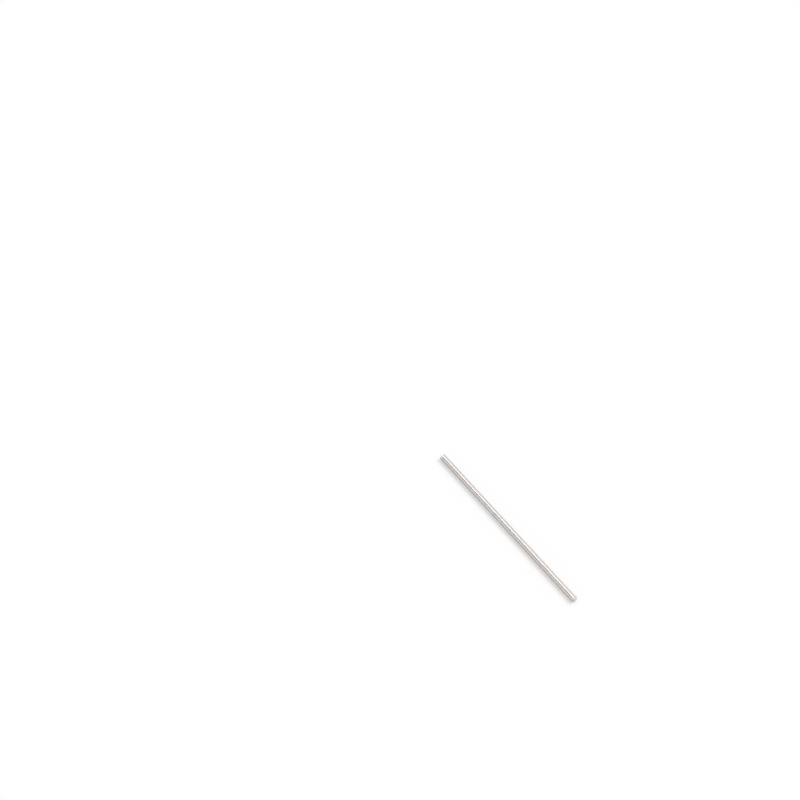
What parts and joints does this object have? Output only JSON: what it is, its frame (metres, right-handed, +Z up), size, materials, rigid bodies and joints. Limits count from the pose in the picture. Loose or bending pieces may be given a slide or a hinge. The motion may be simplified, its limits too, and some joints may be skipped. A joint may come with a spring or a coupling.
{
  "type": "glass capillary tube",
  "caption": "Short straight glass capillary tube with one narrow through bore and fire-polished ends, lying on its side; it takes up and measures a small volume of liquid.",
  "frame": {"origin": "on the surface that the tube lies on, under the middle of its length", "axes": "+X along the bore, from end to end; +Z up from the surface that it lies on"},
  "size_m": [0.032, 0.0008, 0.0009],
  "materials": {
    "glass": "clear, drawn and fire-polished"
  },
  "bodies": {
    "root": {"capillary_tube": "glass"}
  },
  "joints": []
}
